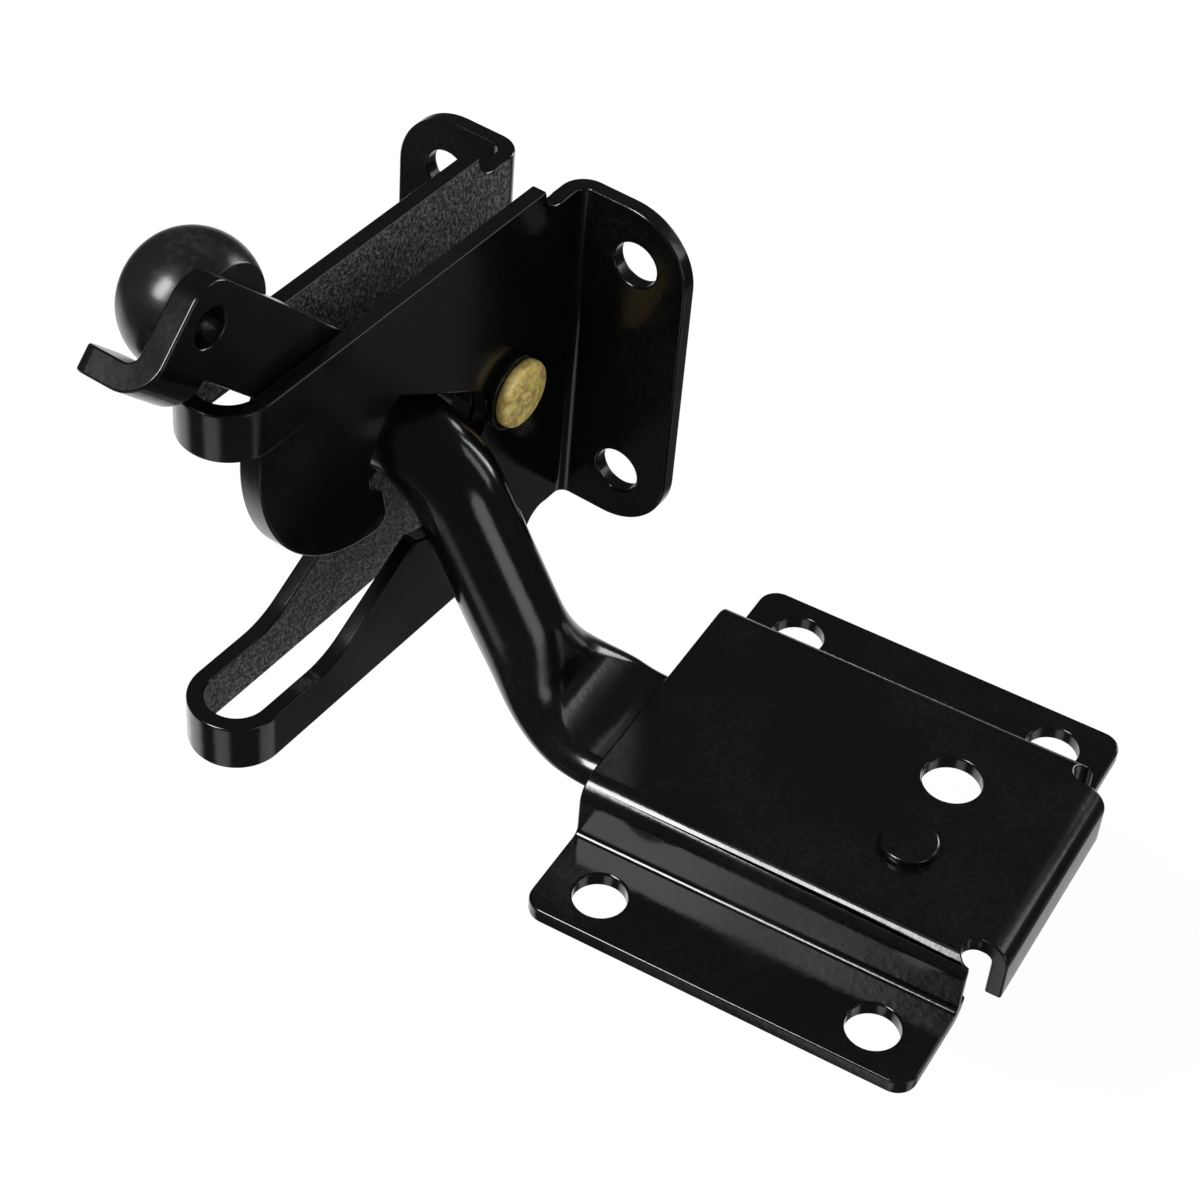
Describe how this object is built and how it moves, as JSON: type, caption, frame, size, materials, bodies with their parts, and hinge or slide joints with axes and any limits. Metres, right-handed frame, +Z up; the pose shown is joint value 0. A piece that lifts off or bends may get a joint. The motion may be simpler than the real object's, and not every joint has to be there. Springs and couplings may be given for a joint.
{
  "type": "automatic gate latch",
  "caption": "Automatic gate latch: bent-sheet latch with a V mouth and lifting pawl with ball knob, and a cranked striker bar on a screw-on hat plate.",
  "frame": {"origin": "centre of the latch's four screw holes, on the plane of the post's face", "axes": "+Z up, -Y out of the post towards the latch's noses, +X along the striker bar towards its plate"},
  "size_m": [0.1058, 0.0888, 0.0813],
  "materials": {
    "black_coat": "gloss",
    "yellow_zinc": "satin",
    "black_plastic": "gloss"
  },
  "bodies": {
    "latch": {"latch_body": "black_coat", "pivot_rivet": "yellow_zinc", "head_washer": "black_coat", "pawl_spacer": "black_coat"},
    "pawl": {"pawl": "black_coat", "knob": "black_plastic", "knob_stud": "black_coat"},
    "striker": {"striker_bar": "black_coat"},
    "plate": {"striker_plate": "black_coat", "striker_rivet": "black_coat", "striker_washer": "black_coat"}
  },
  "joints": [
    {"name": "pawl_lift", "type": "hinge", "parent": "latch", "child": "pawl", "pos_m": [0, -0.014, 0.001], "axis": [-1, 0, 0], "range_deg": [0, 48]},
    {"name": "striker_slide", "type": "slide", "parent": "latch", "child": "striker", "axis": [0.9945, 0.1045, 0], "range_m": [0, 0.026]},
    {"name": "plate_swivel", "type": "hinge", "parent": "striker", "child": "plate", "pos_m": [0.06832, -0.02082, -0.03242], "axis": [0, 0, 1], "range_deg": [0, 12]}
  ]
}
